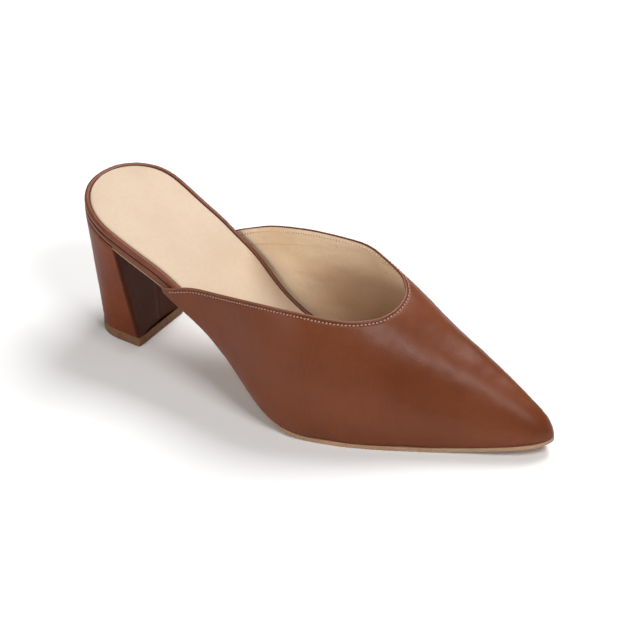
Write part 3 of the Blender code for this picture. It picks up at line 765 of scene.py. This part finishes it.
def squareToTopline(line, border):
    # directions on the flat pattern, from the topline into the leather
    move = np.gradient(line, axis=0)
    normal = unitRows(np.stack([move[:, 1], -move[:, 0]], axis=1))
    middle = slice(len(line) // 2, len(line) // 2 + 1)
    return normal if insidePolygon(line[middle] + normal[middle] * 0.002, border)[0] else -normal


def layPoints():
    # outline of the flat pattern, then rows beside the topline, then an even field
    outer = resample(featherLine(-1, wingX), upperLook["featherStep"])
    inner = resample(featherLine(1, wingX), upperLook["featherStep"])[::-1]
    border = np.concatenate([outer, inner[1:], topline[::-1]])
    feather = len(outer) + len(inner) - 1
    normal = squareToTopline(topline, border)
    band = np.concatenate([topline + normal * offset for offset in upperLook["edgeRows"]])
    step = upperLook["meshStep"]
    low, high = border.min(axis=0), border.max(axis=0)
    field = []
    for k, run in enumerate(np.arange(low[0], high[0], step * 0.87)):
        across = np.arange(low[1] + (k % 2) * step / 2, high[1], step)
        field.append(np.stack([np.full(len(across), run), across], axis=1))
    field = np.concatenate(field)
    near = ridgeRun[-1] - upperLook["noseReach"]
    fine = np.meshgrid(np.arange(near, high[0], 0.00055), np.arange(-0.014, 0.014, 0.0006))
    field = np.concatenate([field[field[:, 0] < near - step * 0.6], np.stack(fine, -1).reshape(-1, 2)])
    band = band[insidePolygon(band, border)]
    band = band[nearestOn(band, border[:feather + 1])[0] > upperLook["clearance"]]
    field = field[insidePolygon(field, border)]
    field = field[nearestOn(field, np.concatenate([border, border[:1]]))[0] > upperLook["clearance"]]
    field = field[nearestOn(field, topline)[0] > upperLook["edgeBand"]]
    return border, feather, np.concatenate([border, band, field])


def triangulate(places, count):
    # triangles over the flat pattern; its outline is the first points, in order
    flat = [Vector((p[0] * 1000, p[1] * 1000)) for p in places]
    edges = [(i, (i + 1) % count) for i in range(count)]
    made = geometry.delaunay_2d_cdt(flat, edges, [], 1, 1e-4)
    flatPoints = np.array([(v.x, v.y) for v in made[0]]) / 1000
    triangles = np.array([f for f in made[2] if len(f) == 3])
    cameFrom = {source: i for i, sources in enumerate(made[3]) for source in sources}
    return flatPoints, triangles, cameFrom


def skinNormals(base, triangles, flatPoints):
    first, second, third = (base[triangles[:, k]] for k in range(3))
    turn = np.cross(second - first, third - first)
    normal = np.zeros_like(base)
    for k in range(3):
        np.add.at(normal, triangles[:, k], turn)
    normal = unitRows(normal)
    if (normal[:, 2] * (base[:, 2] > 0.03)).sum() < 0:
        normal = -normal
    # thin triangles can tilt a point's normal: there the last's own is taken
    own = lastNormals(flatPoints)
    agree = (own * normal).sum(axis=1)
    odd = (np.abs(agree) < 0.97) & (base[:, 0] < 0.20) & (np.linalg.norm(own, axis=1) > 0.9)
    normal[odd] = own[odd] * np.sign(agree[odd])[:, None]
    print("normals mended:", int(odd.sum()))
    return normal


def leatherSides(base, normal, away, along):
    # the outer skin with its bead, seam and uneven rise, and the lining a wall's thickness inside
    look = upperLook
    phase = np.cos(2 * math.pi * along / look["stitchPitch"])
    swelling = look["bead"] * gauss(away, look["beadAt"], look["beadWidth"])
    swelling -= look["seamDepth"] * gauss(away, look["seamAt"], look["seamWidth"]) * (0.7 + 0.3 * phase)
    openShare = np.clip((away - 0.004) / 0.02, 0, 1)
    swelling += look["undulation"] * waves(base * [1.0, 1.0, 1.4], 0.022, 1) * openShare
    swelling += look["undulation"] * 0.3 * waves(base, 0.008, 2) * openShare
    swelling += 0.00007 * waves(base, 0.006, 3) * gauss(away, 0, 0.003)
    pucker = 0.00010 * waves(base * [1, 1, 2.5], 0.010, 4) + 0.00030 * waves(base, 0.03, 5)
    skived = np.clip(away / look["skiveReach"], 0, 1) ** 0.8
    wall = look["edgeWall"] + (look["wall"] - look["edgeWall"]) * skived
    inner = base - normal * (wall + pucker * np.clip(away / 0.004, 0, 1))[:, None]
    return base + normal * swelling[:, None], inner


def makeUpper():
    border, feather, places = layPoints()
    flatPoints, triangles, cameFrom = triangulate(places, len(border))
    base = lastPoints(flatPoints)
    normal = skinNormals(base, triangles, flatPoints)
    away, along = nearestOn(flatPoints, topline)
    outer, inner = leatherSides(base, normal, away, along)

    vertices = [outer, inner]
    n = len(base)
    faces = [tuple(t) for t in triangles] + [tuple(t[::-1] + n) for t in triangles]
    slots = [0] * len(triangles) + [1] * len(triangles)
    fromEdge = [away, away]
    # the folded edge: a half round from the outer skin over to the lining
    top = np.array([cameFrom[feather + k] for k in range(len(topline))])
    tangent = np.gradient((outer[top] + inner[top]) / 2, axis=0)
    side = outer[top] - inner[top]
    rise = unitRows(np.cross(tangent, side))
    throat = len(top) // 2
    beside = np.flatnonzero((away > 0.0011) & (away < 0.0016))
    pick = beside[np.argmin(np.linalg.norm(base[beside] - base[top[throat]], axis=1))]
    if np.dot(rise[throat], base[pick] - base[top[throat]]) > 0:
        rise = -rise
    arcSteps, total, arcRows = upperLook["foldSteps"], 2 * n, [top]
    for k in range(1, arcSteps):
        angle = math.pi * k / arcSteps
        fold = upperLook["foldReach"] * math.sin(angle)
        row = (outer[top] + inner[top]) / 2 + side / 2 * math.cos(angle) + rise * fold
        vertices.append(row)
        # the outer half of the fold counts as the edge itself and takes the painted highlight; the inner
        # half takes the painted shade
        fromEdge.append(np.full(len(top), 0.0 if k < arcSteps / 2 else 0.0007))
        arcRows.append(np.arange(total, total + len(top)))
        total += len(top)
    arcRows.append(top + n)
    for k in range(arcSteps):
        faces += quads(arcRows[k], arcRows[k + 1])
    # the lasted edge: turned in under the footbed
    low = np.array([cameFrom[k] for k in range(feather)])
    row = low
    edgeXY = outer[low][:, :2]
    direction = np.gradient(edgeXY, axis=0)
    plan = unitRows(np.stack([-direction[:, 1], direction[:, 0]], axis=1))
    middleY = middleLine(edgeXY[:, 0] + shoe["originX"])
    half = np.abs(edgeXY[:, 1] - middleY)
    if ((middleY - edgeXY[:, 1]) * plan[:, 1]).sum() < 0:
        plan = -plan
    for inset in upperLook["flap"]:
        moved = edgeXY + plan * np.minimum(inset, half * 0.8)[:, None]
        z = layerHeight(moved[:, 0] + shoe["originX"], shoe["outsole"] + shoe["gap"] * 0.5)
        vertices.append(np.column_stack([moved, z]))
        fromEdge.append(np.full(len(low), 0.02))
        nextRow = np.arange(total, total + len(low))
        total += len(low)
        faces += quads(row, nextRow)
        row = nextRow
    # short closing edges at the rear ends of the wings
    faces.append((low[0], top[0], top[0] + n, low[0] + n))
    faces.append((low[-1], low[-1] + n, top[-1] + n, top[-1]))
    slots += [0] * (len(faces) - len(slots))
    vertices, fromEdge = np.concatenate(vertices), np.concatenate(fromEdge)
    piece = newPiece("upperSkin", vertices, faces, [upperLeather, liningLeather], slots)
    # joined points are gone from the mesh, so each of its points is looked up by its place
    keys = {tuple(np.round(p * 1e6).astype(int)): v for p, v in zip(vertices, fromEdge)}
    found = [keys.get(tuple(np.round(p * 1e6).astype(int)), 0.02) for p in meshPlaces(piece)]
    storeValues(piece, "fromEdge", found)
    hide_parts("upper")
    print("upper:", len(piece.data.vertices), "points,", len(piece.data.polygons), "faces")


makeUpper()


def makeStitches(name, depth, radius, thread, lift, firstOffset, length=upperLook["stitchLength"]):
    # one lockstitch after another along the topline, or one dark needle hole after another, partly real
    # holes and partly painted shade round the thread
    border = np.concatenate([featherLine(-1, wingX), featherLine(1, wingX)[::-1], toplineWalk[::-1]])
    normal = squareToTopline(toplineWalk, border)
    seam = resample(toplineWalk + normal * upperLook["seamAt"], 0.0001)
    run = runAlong(seam)
    vertices, faces, points, sides = [], [], 7, 6
    start, number = upperLook["seamEnd"] + firstOffset, 0
    while start + length < run[-1] - upperLook["seamEnd"]:
        wobble = upperLook["stitchWobble"] * math.sin(number * 2.3)
        along = np.linspace(start, start + length, points)
        slant = np.linspace(-upperLook["stitchSlant"], upperLook["stitchSlant"], points) + wobble
        places = np.stack([np.interp(along, run, seam[:, k]) for k in range(2)], axis=1)
        centre = np.clip(np.searchsorted(run, along), 1, len(seam) - 1)
        step = unitRows(seam[centre] - seam[centre - 1])
        places += np.stack([-step[:, 1], step[:, 0]], axis=1) * slant[:, None]
        surface, facing = lastPoints(places), lastNormals(places)
        if facing[0] @ (surface[0] - np.array([0.09, 0.005, 0.02])) < 0:
            facing = -facing
        arch = np.sin(np.linspace(0.0, math.pi, points))
        spine = surface + facing * (depth + lift * arch)[:, None]
        thick = radius * np.clip(arch, 0.0, 1) ** 0.45 + 0.00003
        across = np.cross(unitRows(np.gradient(spine, axis=0)), facing)
        first = points * len(vertices)
        for k in range(sides):
            angle = 2 * math.pi * k / sides
            out = across * math.cos(angle) + facing * math.sin(angle)
            vertices.append(spine + out * thick[:, None])
        faces += tubeFaces(first, sides, points)
        start, number = start + upperLook["stitchPitch"], number + 1
    piece = newPiece(name, np.concatenate(vertices), faces, [thread])
    print(name, number)


seamBed, liningSide, threadRadius = -upperLook["seamDepth"], -0.00130, upperLook["stitchRadius"]
makeStitches("toplineStitches", seamBed * 0.8, threadRadius, pinkThread, 0.00028, 0.0)
# dark discs in the gaps between stitches: needle holes, darkened further as painted shade round the thread
makeStitches("toplineHoleShade", seamBed, 0.00034, holeShade, 0.00004, 0.00160, 0.0006)
makeStitches("liningStitches", liningSide, threadRadius * 0.9, paleThread, -0.00026, 0.001)
makeStitches("liningHoleShade", liningSide, 0.00024, liningShade, -0.00004, 0.00265, 0.0005)


def outlinePath(lastX):
    # round the seat from one side to the other, as plan points with inward directions
    x = lastX * (1 - np.cos(np.linspace(0, math.pi / 2, 420))) ** 1.15
    outer, inner = outlineSides(x / shoe["length"])
    line = resample(np.concatenate([np.stack([x, outer], 1)[::-1], np.stack([x, inner], 1)[1:]]), 0.0006)
    move = np.gradient(line, axis=0)
    inward = unitRows(np.stack([move[:, 1], -move[:, 0]], axis=1))
    return line, inward if inward[len(inward) // 2, 0] > 0 else -inward


def sweepRoll(name, node, profile, look, lastX):
    # carries a closed edge profile of (inset, height, gather, painted groove shade) round the footbed
    line, inward = outlinePath(lastX)
    slip = slipInset(line[:, 0])
    rings = []
    for inset, height, gather, _ in profile:
        plan = line + inward * (slip + inset)[:, None]
        flat = np.column_stack([plan, np.zeros(len(plan))])
        ripple = look["ripple"] * waves(flat, 0.004, 6) + look["sag"] * waves(flat, 0.02, 7)
        z = layerHeight(plan[:, 0], height) + gather * ripple
        rings.append(toRow(plan[:, 0], plan[:, 1], z))
    faces = tubeFaces(0, len(profile), len(line))
    piece = newPiece(name, np.concatenate(rings), faces, [bindingLeather], sharp=60)
    storeValues(piece, "paintedGrooveShade", np.repeat([row[3] for row in profile], len(line)))
    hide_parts(node)


def rollProfile(low, high, depth, squareness):
    # half-round outer edge, then a flat run inwards above and below; the last value paints shade towards the
    # top and bottom of the round, where it meets the next layer
    middle, half = (low + high) / 2, (high - low) / 2
    points = []
    for k in range(15):
        angle = -math.pi / 2 + math.pi * k / 14
        out = abs(math.cos(angle)) ** (2 / squareness)
        up = math.copysign(abs(math.sin(angle)) ** (2 / squareness), math.sin(angle))
        points.append((depth * (1 - out), middle + half * up, 1.0, abs(math.sin(angle)) ** 5))
    return points


coverLook = {"ripple": 0.00006, "sag": 0.00010, "squareness": 2.2}
boardBottom = shoe["outsole"] + shoe["gap"]
boardTop = boardBottom + shoe["board"]
coverBottom = boardTop + shoe["gap"] * 0.4
coverTop = boardTop + shoe["gap"] + shoe["cover"]

# the last value of each row is painted groove shade: none on the roll's top face, full on the inner run
coverProfile = rollProfile(coverBottom, coverTop + 0.0001, 0.0014, coverLook["squareness"])
coverProfile = [row if row[1] < coverTop - 0.001 else (*row[:3], 0.0) for row in coverProfile]
coverProfile += [(0.0021, coverTop - 0.00002, 1, 0.0), (0.0026, coverTop - 0.0003, 1, 0.8),
                 (0.0031, coverTop - 0.0011, 0.5, 1), (0.0031, coverBottom, 0, 1)]
rollEnd = 0.86 * shoe["length"]  # out of sight under the vamp
sweepRoll("footbedRoll", "footbed_cover", coverProfile, coverLook, rollEnd)

boardLook = {"ripple": 0.00006, "sag": 0.00008, "squareness": 2.3}
boardProfile = rollProfile(boardBottom, boardTop + shoe["gap"] * 0.3, 0.0013, boardLook["squareness"])
boardProfile += [(0.0060, boardTop, 0, 1), (0.0100, boardTop - 0.0004, 0, 1),
                 (0.0100, boardBottom + 0.0004, 0, 1), (0.0060, boardBottom, 0.5, 1)]
sweepRoll("boardRoll", "insole_board", boardProfile, boardLook, rollEnd)
print("rolls ready")


sockLook = {
    "edge": 0.0027, "end": 0.93, "columns": 46, "rows": 260, "backReach": 0.030, "crown": 0.0004,
    "crownReach": 0.012, "dip": 0.0009, "dipReach": 0.0005, "heelCup": 0.0006, "undulation": 0.00016,
}


def makeSock():
    # the soft sock: tucked down at its rim, slightly crowned, hollowed a little under the heel
    look = sockLook

    def inset(x):
        return slipInset(x) + look["edge"]

    back = insetEnds(inset)[0]
    turn = np.linspace(0, math.pi / 2, 60)
    x = np.concatenate([back + (look["backReach"] - back) * (1 - np.cos(turn))[:-1],
                        np.linspace(look["backReach"], look["end"] * shoe["length"], look["rows"])])
    outer, inner = insetSides(x, inset(x))
    outer[0] = inner[0] = middleLine(x[:1])[0]
    share = (1 - np.cos(np.linspace(0, math.pi, look["columns"] + 1))) / 2
    y = outer[:, None] + (inner - outer)[:, None] * share[None, :]
    grid = np.stack([np.repeat(x[:, None], len(share), 1), y], axis=-1).reshape(-1, 2)
    outer, inner = np.repeat(outer, len(share)), np.repeat(inner, len(share))
    rim = np.minimum(grid[:, 1] - outer, inner - grid[:, 1])
    rim = np.minimum(rim, (grid[:, 0] - back) * 0.5 + rim * 0.5)
    crown = look["crown"] * np.clip(rim / look["crownReach"], 0, 1) ** 0.5
    dip = look["dip"] * np.exp(-rim / look["dipReach"])
    heelCup = look["heelCup"] * gauss(grid[:, 0], 0.034, 0.020) * np.clip(rim / 0.02, 0, 1)
    flat = np.column_stack([grid, np.zeros(len(grid))])
    ripple = look["undulation"] * waves(flat, 0.024, 9) * np.clip(rim / 0.006, 0, 1)
    z = layerHeight(grid[:, 0], coverTop - 0.0001) + crown - dip - heelCup + ripple
    points = toRow(grid[:, 0], grid[:, 1], z)
    columns = len(share)
    corners = [i * columns + j for i in range(len(x) - 1) for j in range(columns - 1)]
    faces = [(a, a + columns, a + columns + 1, a + 1) for a in corners]
    piece = newPiece("sockSheet", points, faces, [sockLeather])
    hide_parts("insole_sock")


makeSock()
print("sock ready")


outsoleLook = {"rungs": 220, "round": 0.00062, "startX": 0.0333}


def makeOutsole():
    # sheet that follows the sole; its rounded edge is a list of (inset, height) from below to above
    look, rings = outsoleLook, []
    edge = [(look["round"] * (1 - math.sin(t)), look["round"] * (1 - math.cos(t)))
            for t in np.linspace(0, math.pi / 2, 5)]
    edge += [(inset * 0.6, shoe["outsole"] - height * 0.6) for inset, height in reversed(edge)]
    for inset, height in edge:
        def insetAt(x, inset=inset, height=height):
            return inset + waistInset(x, height)

        tip = insetEnds(insetAt)[1]
        nose = tip - 2 * shoe["toeRounding"]
        ease = tip - (tip - nose) * np.linspace(1, 0, 40) ** 2
        x = np.concatenate([np.linspace(look["startX"], nose, look["rungs"])[:-1], ease])
        outer, inner = insetSides(x, insetAt(x))
        outer[-1] = inner[-1] = middleLine(x[-1:])[0]
        z = layerHeight(x, height)
        rings.append((toRow(x, outer, z), toRow(x, inner, z)))
    rungs = len(rings[0][0])
    vertices = np.concatenate([np.concatenate(ring) for ring in rings])
    around = list(range(rungs)) + [rungs + k for k in range(rungs - 1, -1, -1)]
    faces = []
    for level in range(len(rings) - 1):
        low, high = level * 2 * rungs, (level + 1) * 2 * rungs
        faces += quads([low + a for a in around], [high + a for a in around], closed=True)
    for start in (0, (len(rings) - 1) * 2 * rungs):
        faces += quads(range(start, start + rungs), range(start + rungs, start + 2 * rungs))
    piece = newPiece("outsoleSheetPiece", vertices, faces, [outsoleSheet], sharp=50)
    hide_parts("outsole")


makeOutsole()
print("outsole ready")


heelLook = {
    "breastX": 0.0350, "corner": 0.0013, "hollow": 0.0008, "liftX": 0.0110, "liftLength": 0.0297,
    "liftWidth": 0.0362, "liftHeight": 0.0050, "liftProud": 0.0002, "backShare": 0.58, "backFullness": 2.20,
    "seamGroove": 0.00028, "levels": 44, "around": 64, "breastPoints": 40, "unevenness": 0.00010,
    "topSoft": 0.0004, "lowSoft": 0.00015,
}


def heelRing(level, proud=0.0, flat=None, shrink=0.0):
    # one closed loop round the heel, 0 at the seat and 1 at the lift, or flat at a height
    look = heelLook
    straight = 1 - look["corner"] / look["liftLength"]
    turn = np.linspace(0, math.pi / 2, look["around"])[:-1]
    corners = straight + (1 - straight) * np.sin(np.linspace(0, math.pi / 2, 12))
    share = np.concatenate([(1 - np.cos(turn)) * straight, corners])
    topX = share * look["breastX"]
    topOuter, topInner = outlineSides(topX / shoe["length"])
    lowX = look["liftX"] + share * look["liftLength"]
    back = np.clip(1 - share / look["backShare"], 0, 1)
    half = look["liftWidth"] / 2 * (1 - back ** look["backFullness"]) ** (1 / look["backFullness"])
    x = topX + (lowX - topX) * level
    outer = topOuter + (-half - topOuter) * level
    inner = topInner + (half - topInner) * level
    rounding = np.clip((share - straight) * look["liftLength"], 0, look["corner"])
    pull = look["corner"] - np.sqrt(np.maximum(look["corner"] ** 2 - rounding ** 2, 0))
    outer, inner = outer + pull, inner - pull
    middle = (outer + inner) / 2
    grow = proud - shrink
    x = x + grow * (2 * share - 1)
    outer = outer - grow * np.clip((middle - outer) / (look["liftWidth"] / 4), 0, 1)
    inner = inner + grow * np.clip((inner - middle) / (look["liftWidth"] / 4), 0, 1)
    across = np.linspace(0, 1, look["breastPoints"] + 2)[1:-1]
    breastY = outer[-1] + (inner[-1] - outer[-1]) * across
    hollow = 0 * across
    if flat is None:
        hollow = look["hollow"] * np.sin(math.pi * across) + look["seamGroove"] * gauss(across, 0.5, 0.018)
    breastX = x[-1] - hollow
    px = np.concatenate([x, breastX, x[::-1]])
    py = np.concatenate([outer, breastY, inner[::-1]])
    if flat is None:
        seat = layerHeight(px, shoe["outsole"])
        foot = look["liftHeight"] + shoe["gap"] * 0.5
        pz = seat + (foot - seat) * level
    else:
        pz = np.full(len(px), flat)
    return toRow(px, py, pz)


def loopPiece(name, node, rings, material):
    # closed loops one under the other, with a flat face over both ends
    count = len(rings[0])
    faces = []
    for level in range(len(rings) - 1):
        low, high = level * count, (level + 1) * count
        faces += quads(range(low, low + count), range(high, high + count), closed=True)
    for level in (0, len(rings) - 1):
        start = level * count
        half = (count - heelLook["breastPoints"]) // 2
        for k in range(half - 1):
            faces.append((start + k, start + k + 1, start + count - 2 - k, start + count - 1 - k))
        faces.append([start + k for k in range(half - 1, count - half + 1)])
    piece = newPiece(name, np.concatenate(rings), faces, [material], sharp=50)
    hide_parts(node)
    return piece


def makeHeel():
    look, rings = heelLook, []
    for level in (k / look["levels"] for k in range(look["levels"] + 1)):
        soft = look["topSoft"] * math.exp(-level / 0.006) + look["lowSoft"] * math.exp(-(1 - level) / 0.008)
        ring = heelRing(level, shrink=soft)
        outward = unitRows((ring - ring.mean(axis=0)) * [1, 1, 0])
        uneven = look["unevenness"] * waves(ring * [1, 1, 0.6], 0.010, 11)
        rings.append(ring + outward * uneven[:, None])
    cover = loopPiece("heelCover", "heel_block", rings, heelLeather)
    # painted shade: the breast is coloured darker than the wrap, standing in for the shadow under the shank
    places = meshPlaces(cover)
    ends = np.array([[ring[:, 0].max(), ring[:, 2].mean()] for ring in rings])
    front = np.interp(places[:, 2], ends[::-1, 1], ends[::-1, 0])
    storeValues(cover, "paintedBreastShade", np.clip((places[:, 0] - front + 0.0024) / 0.0010, 0, 1))


pinLook = {
    "places": ((-0.0075, 0.0), (0.0075, -0.0085), (0.0075, 0.0085)),
    "head": ((0.00125, 0.00012), (0.00125, 0.00002), (0.0010, 0.0), (0.0004, 0.00006)),  # radius, height
    "sides": 24,
}


def makeLift():
    high, proud = heelLook["liftHeight"], heelLook["liftProud"]
    edge = [(high, 0.0004), (high - 0.0002, 0.0001), (high - 0.0006, 0.0), (0.0030, 0.00005),
            (0.0014, 0.0), (0.0005, 0.0), (0.00015, 0.00015), (0.0, 0.0005)]
    rings = [heelRing(1.0, proud=proud, flat=height, shrink=shrink) for height, shrink in edge]
    loopPiece("liftPad", "top_lift", rings, liftRubber)
    # three small pin heads sunk in the underside
    vertices, faces, sides = [], [], pinLook["sides"]
    for x, y in pinLook["places"]:
        for level, (radius, z) in enumerate(pinLook["head"]):
            start = len(vertices)
            if level:
                faces += quads(range(start - sides, start), range(start, start + sides), closed=True)
            for angle in (2 * math.pi * k / sides for k in range(sides)):
                vertices.append((x + radius * math.cos(angle), y + radius * math.sin(angle), z))
        faces.append(list(range(start, start + sides)))
    pins = newPiece("liftPins", vertices, faces, [liftPinSteel])


makeHeel()
makeLift()
print("heel and lift ready")


studio = {
    "azimuth": 33.74, "elevation": 35.0, "distance": 1.350, "target": (0.09149, 0.02626, 0.0200),
    "lens": 157.4, "floor": (0.93, 0.925, 0.92), "world": 0.19, "aim": (0.09, 0.0, 0.03),
}


def makeStudio():
    bpy.ops.mesh.primitive_plane_add(size=14, location=(0, 0, 0))
    floor = bpy.context.object
    floor.name = "studioFloor"
    paint = bpy.data.materials.new("paleFloor")
    paint.use_nodes = True
    surface = paint.node_tree.nodes["Principled BSDF"]
    surface.inputs["Base Color"].default_value = (*studio["floor"], 1)
    surface.inputs["Roughness"].default_value = 0.9
    surface.inputs["Specular IOR Level"].default_value = 0.1
    floor.data.materials.append(paint)

    world = bpy.data.worlds.new("studioWorld")
    bpy.context.scene.world = world
    world.use_nodes = True
    back = world.node_tree.nodes["Background"]
    back.inputs["Color"].default_value = (1, 1, 1, 1)
    back.inputs["Strength"].default_value = studio["world"]

    def softbox(name, place, size, power):
        data = bpy.data.lights.new(name, "AREA")
        data.shape = "RECTANGLE"
        data.size, data.size_y = size
        data.energy = power
        lamp = bpy.data.objects.new(name, data)
        bpy.context.collection.objects.link(lamp)
        lamp.location = place
        lamp.rotation_euler = (Vector(studio["aim"]) - Vector(place)).to_track_quat("-Z", "Y").to_euler()

    softbox("keyBox", (0.80, -0.24, 1.04), (0.42, 0.38), 6.4)
    softbox("rearBox", (0.10, 0.64, 1.0), (0.7, 0.6), 12.4)
    softbox("frontFill", (-0.15, -1.25, 0.62), (1.0, 0.6), 7.0)

    a, e = math.radians(studio["azimuth"]), math.radians(studio["elevation"])
    back = Vector((math.sin(a) * math.cos(e), -math.cos(a) * math.cos(e), math.sin(e)))
    data = bpy.data.cameras.new("photoCamera")
    data.lens, data.sensor_width, data.sensor_fit = studio["lens"], 36.0, "HORIZONTAL"
    data.clip_start, data.clip_end = 0.05, 60
    camera = bpy.data.objects.new("photoCamera", data)
    bpy.context.collection.objects.link(camera)
    camera.location = Vector(studio["target"]) + back * studio["distance"]
    camera.rotation_euler = (-back).to_track_quat("-Z", "Y").to_euler()
    bpy.context.scene.camera = camera
    bpy.context.scene.view_settings.view_transform = "Standard"


makeStudio()
print("studio ready")
